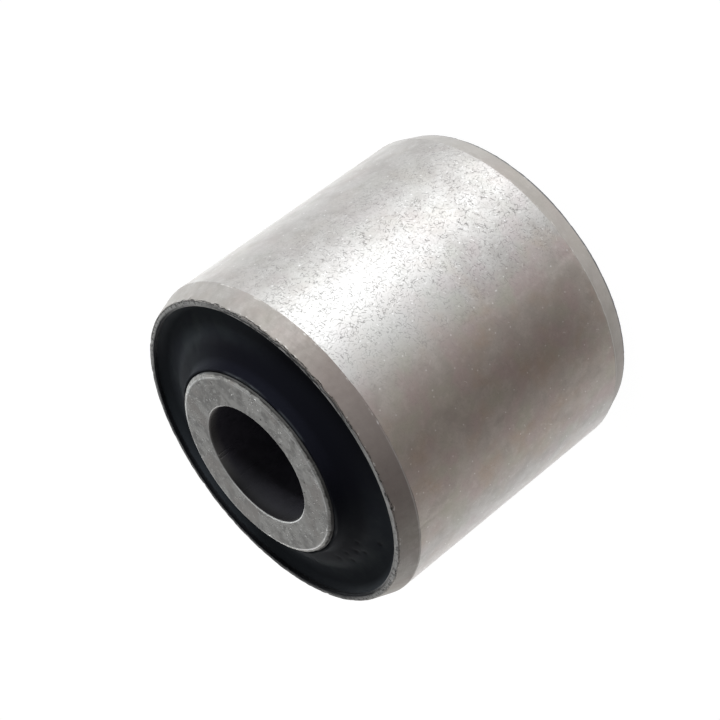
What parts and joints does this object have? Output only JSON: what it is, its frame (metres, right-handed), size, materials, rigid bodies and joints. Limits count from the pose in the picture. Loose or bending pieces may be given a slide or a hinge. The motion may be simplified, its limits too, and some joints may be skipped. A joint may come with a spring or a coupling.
{
  "type": "rubber metal bush",
  "caption": "Cylindrical vibration-damping bush: steel outer and inner sleeves with rubber bonded between them, for a bolt through the bore.",
  "frame": {"origin": "middle of the bore, halfway between the two ends", "axes": "+Z along the bore axis; the bush stands on the end face of its inner sleeve"},
  "size_m": [0.028, 0.028, 0.028],
  "materials": {
    "outer_steel": "satin ground steel with fine random scratches",
    "rubber": "moulded black rubber, slightly dusty",
    "inner_steel": "machined steel, finely pitted end faces"
  },
  "bodies": {
    "root": {"outer_sleeve": "outer_steel", "rubber_element": "rubber", "inner_sleeve": "inner_steel"}
  },
  "joints": []
}
